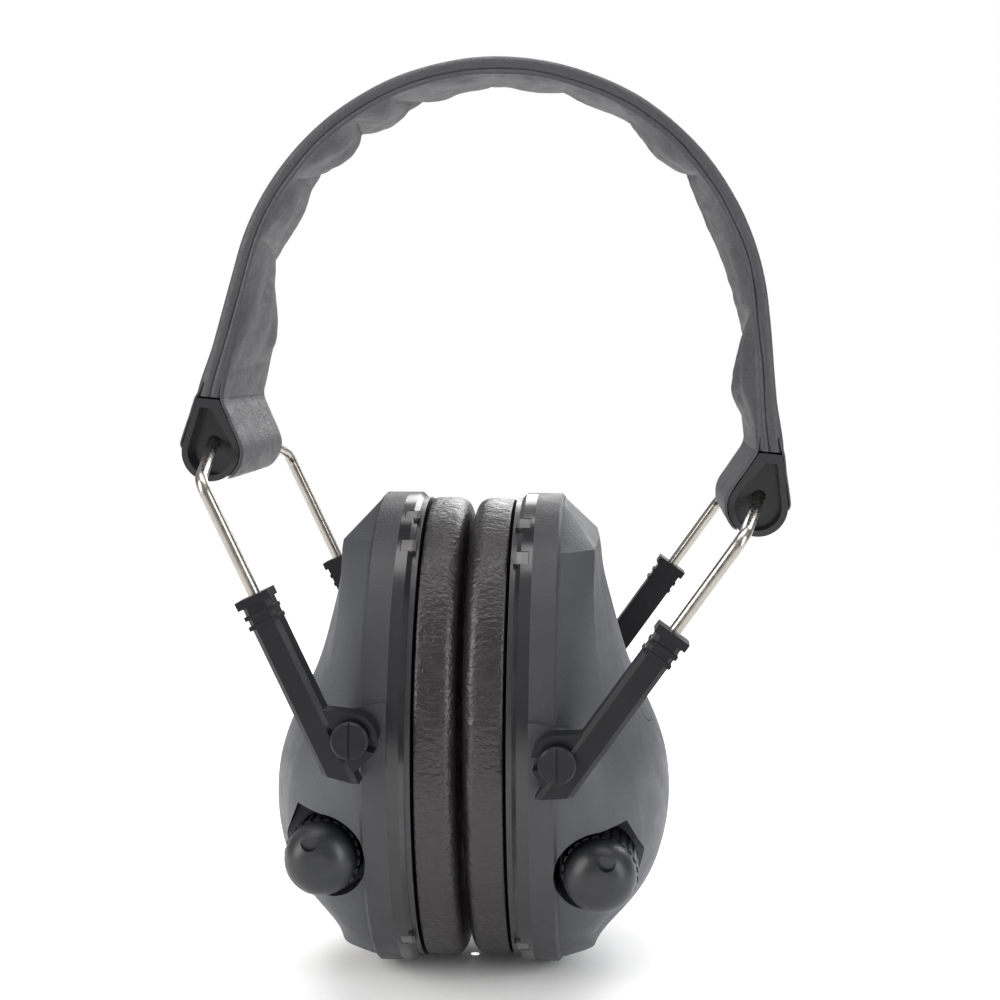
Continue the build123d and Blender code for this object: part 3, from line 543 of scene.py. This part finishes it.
# Flaps of the sleeve that wrap the end cap: way round it in the band's millimetres,
# for the side that faces the head and for the outer side.
INNER_FLAP = (
    (57.75, 13.0), (57.85, 11.0), (57.6, 9.2), (56.3, 6.6), (54.9, 4.0), (53.5, 1.5),
    (52.75, -0.3), (52.5, -2.0), (52.9, -4.3), (54.1, -6.3), (55.4, -7.5),
)
OUTER_FLAP = (
    (62.2, 13.0), (62.75, 11.0), (63.5, 9.3), (64.2, 6.0), (65.0, 2.8), (65.75, -0.4),
    (65.9, -2.2),
)
FLAP_THICK = 0.7
FLAP_STEPS = 9
FLAP_COLUMNS = 26


def along_curve(knots, steps):
    """Smooth path through the knots, as (x, y) pairs."""
    path = []
    ends = [knots[0], *knots, knots[-1]]
    for a, b, c, d in zip(ends, ends[1:], ends[2:], ends[3:]):
        for k in range(steps):
            t = k / steps
            path.append(tuple(
                0.5 * (2 * b[n] + (c[n] - a[n]) * t
                       + (2 * a[n] - 5 * b[n] + 4 * c[n] - d[n]) * t * t
                       + (3 * b[n] - a[n] - 3 * c[n] + d[n]) * t ** 3)
                for n in (0, 1)
            ))
    path.append(knots[-1])
    return path


def make_flap(name, label, knots, lift):
    """Leatherette flap that wraps one side of the end cap."""
    side = SIDES[name]
    path = along_curve(knots, FLAP_STEPS)
    half_t = FLAP_THICK / 2
    rows = []
    last = len(path) - 1
    for i, (across, up) in enumerate(path):
        before, after = path[max(i - 1, 0)], path[min(i + 1, last)]
        dx, dy = after[0] - before[0], after[1] - before[1]
        size = math.hypot(dx, dy)
        outward = (dy / size * lift, -dx / size * lift)
        end_in = 2.4 * smoothstep(last - 12, last, i) ** 2
        half_w = BAND_HALF_W + 0.12 - end_in
        thin = half_t * (1 - 0.55 * smoothstep(last - 4, last, i))
        row = []
        for face in (1, -1):
            for j in range(FLAP_COLUMNS + 1):
                share = face * (2 * j / FLAP_COLUMNS - 1)
                deep = share * half_w
                round_off = 0.6 * smoothstep(0.975, 1.0, abs(share))
                wave = 0.10 * noise.noise(Vector((across * 0.3, deep * 0.2 + side, up * 0.3)))
                offset = face * thin * (1 - round_off) + max(wave, -0.03)
                row.append(band_place(
                    side * (across + outward[0] * offset), up + outward[1] * offset, deep))
        rows.append(row)
    if side * lift > 0:
        rows = [list(reversed(row)) for row in rows]
    points, faces = skin(rows, cap_ends=True)
    piece = add_piece(f"{name}_{label}", points, faces, "band_leatherette")
    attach(piece, f"{name}_band")
    return piece


for side_name in SIDES:
    make_flap(side_name, "cap_flap_inner", INNER_FLAP, 1)
    make_flap(side_name, "cap_flap_outer", OUTER_FLAP, -1)
    sleeve = make_sleeve(side_name)
    bend_with_band(sleeve)
    spring = make_strip(
        side_name, "spring", "plated_steel", 0.9, 1.6, 10.0, ARCH_LENGTH + 29.0, 0.1)
    bend_with_band(spring)
    pad = make_strip(side_name, "pad", "foam", 1.9, 3.5, 20.4, ARCH_LENGTH + 19.0, 0.6)
    bend_with_band(pad)


# --------------------------------------------------------------- cushions
CUP_PITCH = 2.4                      # degrees, the two cups in opposite ways
CUSHION_FACE = 0.35                  # from the midplane outward
CUSHION_MID = 5.1
CUSHION_BACK = 9.9
CUSHION_HALF = (40.6, 52.3)          # along Y and Z
EAR_HALF = (22.5, 34.5)
CUSHION_LAP = 0.95                   # how far the outer edge laps over its plate
CUSHION_ROWS = 420
CUSHION_COLUMNS = 64
# Powers that square the section off: its walls, its face and its back.
WALL_POWER = 0.60
FACE_POWER = 0.62
BACK_POWER = 0.24


def node_pitch(name):
    """Nod of the cup about the ear-to-ear axis, as the frame has it."""
    return Matrix.Rotation(math.radians(CUP_PITCH * SIDES[name]), 4, "X")


def cushion_ring(name):
    """Crowned ring of the cushion, with its own creases."""
    side = SIDES[name]
    pitch = node_pitch(name)
    rows = []
    for i in range(CUSHION_ROWS):
        turn = 2 * math.pi * i / CUSHION_ROWS
        c, s = math.cos(turn), math.sin(turn)
        row = []
        for j in range(CUSHION_COLUMNS):
            angle = 2 * math.pi * j / CUSHION_COLUMNS
            # Superellipse section: u outward from the opening, v through the depth.
            u = math.copysign(abs(math.cos(angle)) ** WALL_POWER, math.cos(angle))
            power = FACE_POWER if math.sin(angle) < 0 else BACK_POWER
            v = math.copysign(abs(math.sin(angle)) ** power, math.sin(angle))
            share = 0.5 + 0.5 * u
            depth = (CUSHION_FACE + CUSHION_BACK) / 2 + v * (CUSHION_BACK - CUSHION_FACE) / 2
            half_y = EAR_HALF[0] + share * (CUSHION_HALF[0] - EAR_HALF[0])
            half_z = EAR_HALF[1] + share * (CUSHION_HALF[1] - EAR_HALF[1])
            # The outer edge laps over the rim of its plate.
            depth += CUSHION_LAP * smoothstep(7.6, 9.8, depth) * smoothstep(0.955, 0.99, share)
            place = Vector((side * depth, half_y * c, half_z * s))
            ripple = (
                0.22 * noise.noise(Vector((depth * 0.08, turn * 7.0, share * 1.5 + side)))
                + 0.10 * noise.noise(Vector((depth * 0.22, turn * 34.0, share * 3.0 + side)))
            )
            centre = Vector((side * CUSHION_MID, 0.5 * (EAR_HALF[0] + CUSHION_HALF[0]) * c,
                             0.5 * (EAR_HALF[1] + CUSHION_HALF[1]) * s))
            outward = (place - centre).normalized()
            free = smoothstep(0.0, 1.2, depth - CUSHION_FACE)
            free *= smoothstep(0.0, 1.2, CUSHION_BACK - depth)
            place += outward * ripple * free
            row.append(pitch @ (place * MM))
        rows.append(row if side < 0 else list(reversed(row)))
    return skin(rows, closed_along=True)


LINER_FRONT = 12.1                   # foam disc in the ear opening, from the midplane
LINER_BACK = 14.65
LINER_HALF = (23.6, 35.6)            # along Y and Z
LINER_COLUMNS = 120


def ear_foam(name):
    """Soft foam disc inside the ear opening, with rounded edges and an uneven face."""
    side = SIDES[name]
    pitch = node_pitch(name)
    # Share of the half widths and depth, from the middle of the face to that of the back.
    profile = [(0.01 + 0.96 * k / 24, LINER_FRONT) for k in range(25)]
    profile += [(0.985, LINER_FRONT + 0.2), (0.997, LINER_FRONT + 0.7), (1.0, LINER_FRONT + 1.3)]
    profile += [(1.0, LINER_BACK - 0.3), (0.99, LINER_BACK)]
    profile += [(0.99 - 0.98 * k / 8, LINER_BACK) for k in range(1, 9)]
    rows = []
    for share, depth in profile:
        row = []
        for i in range(LINER_COLUMNS):
            turn = 2 * math.pi * i / LINER_COLUMNS
            y = LINER_HALF[0] * share * math.cos(turn)
            z = LINER_HALF[1] * share * math.sin(turn)
            front = 1 - smoothstep(LINER_FRONT, LINER_FRONT + 1.0, depth)
            sag = 0.5 * (1 - share ** 2) + 0.25 * noise.noise(Vector((y * 0.14, z * 0.14, side)))
            row.append(pitch @ (Vector((side * (depth + max(sag, 0.0) * front), y, z)) * MM))
        rows.append(list(reversed(row)) if side < 0 else row)
    return skin(rows, cap_ends=True)


for side_name in SIDES:
    points, faces = ear_foam(side_name)
    disc = add_piece(f"{side_name}_ear_foam", points, faces, "foam")
    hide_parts(f"{side_name}_liner")
    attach(disc, f"{side_name}_cup")
    points, faces = cushion_ring(side_name)
    cushion = add_piece(f"{side_name}_ear_cushion", points, faces, "cushion_leatherette")
    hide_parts(f"{side_name}_cushion")
    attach(cushion, f"{side_name}_cup")


# ------------------------------------------------------------ floor, lights
FLOOR_Z = CAD_LOW.z - 0.0006
FLOOR_RADII = (0.001, 0.2, 0.6, 1.5, 4.0)
FLOOR_COLUMNS = 64


def make_floor():
    """Pale floor that fades into the white surroundings."""
    finish = Finish("floor_white", (0.93, 0.93, 0.93), 0.9)
    finish.tint(finish.noise(0.3), (0.925, 0.925, 0.925), (0.935, 0.935, 0.935))
    distance = finish.node("ShaderNodeVectorMath", operation="LENGTH")
    finish.wire(finish.place, distance.inputs[0])
    far = finish.spread(distance.outputs["Value"], 0.0, 1.0, 0.25, 0.9)
    glow = finish.node("ShaderNodeEmission")
    glow.inputs["Strength"].default_value = 1.0
    join = finish.node("ShaderNodeMixShader")
    finish.wire(far, join.inputs[0])
    finish.wire(finish.shader.outputs[0], join.inputs[1])
    finish.wire(glow.outputs[0], join.inputs[2])
    finish.wire(join.outputs[0], finish.tree.nodes["Material Output"].inputs["Surface"])
    turns = [2 * math.pi * i / FLOOR_COLUMNS for i in range(FLOOR_COLUMNS)]
    rows = [
        [Vector((radius * math.cos(turn), radius * math.sin(turn), FLOOR_Z)) for turn in turns]
        for radius in FLOOR_RADII
    ]
    points, faces = skin(rows)
    mesh = bpy.data.meshes.new("floor")
    mesh.from_pydata([tuple(p) for p in points], [], faces)
    mesh.materials.append(finish.material)
    floor = bpy.data.objects.new("floor", mesh)
    bpy.context.scene.collection.objects.link(floor)


def make_surroundings():
    """White to look at; as a light, brightest overhead and dim at the horizon."""
    world = bpy.data.worlds.new("studio")
    world.use_nodes = True
    tree = world.node_tree
    place = tree.nodes.new("ShaderNodeTexCoord")
    split = tree.nodes.new("ShaderNodeSeparateXYZ")
    tree.links.new(place.outputs["Generated"], split.inputs["Vector"])
    height = tree.nodes.new("ShaderNodeMapRange")
    tree.links.new(split.outputs["Z"], height.inputs["Value"])
    for socket, value in (
        ("From Min", -0.1), ("From Max", 0.9), ("To Min", 0.24), ("To Max", 0.66),
    ):
        height.inputs[socket].default_value = value
    seen = tree.nodes.new("ShaderNodeLightPath")
    choose = tree.nodes.new("ShaderNodeMix")
    tree.links.new(seen.outputs["Is Camera Ray"], choose.inputs["Factor"])
    tree.links.new(height.outputs["Result"], choose.inputs["A"])
    choose.inputs["B"].default_value = 1.0
    tree.links.new(choose.outputs["Result"], tree.nodes["Background"].inputs["Strength"])
    tree.nodes["Background"].inputs["Color"].default_value = (1.0, 1.0, 1.0, 1.0)
    bpy.context.scene.world = world


def add_light(name, place, target, size, power, colour=(1.0, 1.0, 1.0)):
    lamp = bpy.data.lights.new(name, "AREA")
    lamp.shape = "RECTANGLE"
    lamp.size, lamp.size_y = size
    lamp.energy = power
    lamp.color = colour
    holder = bpy.data.objects.new(name, lamp)
    holder.location = place
    holder.rotation_mode = "QUATERNION"
    holder.rotation_quaternion = (Vector(target) - Vector(place)).to_track_quat("-Z", "Y")
    bpy.context.scene.collection.objects.link(holder)


make_floor()
make_surroundings()
bpy.context.scene.view_settings.view_transform = "Standard"
MIDDLE = (0.0, 0.0, 0.03)
add_light("overhead", (0.0, 0.1, 1.2), MIDDLE, (1.2, 1.0), 16.0)
add_light("key_left", (-0.95, -0.55, 0.45), MIDDLE, (0.6, 0.9), 12.0, (1.0, 0.985, 0.96))
add_light("fill_right", (1.0, -0.6, 0.35), MIDDLE, (0.5, 0.9), 9.0, (0.97, 0.98, 1.0))
add_light("back", (0.3, 1.0, 0.6), MIDDLE, (1.0, 0.6), 10.0)
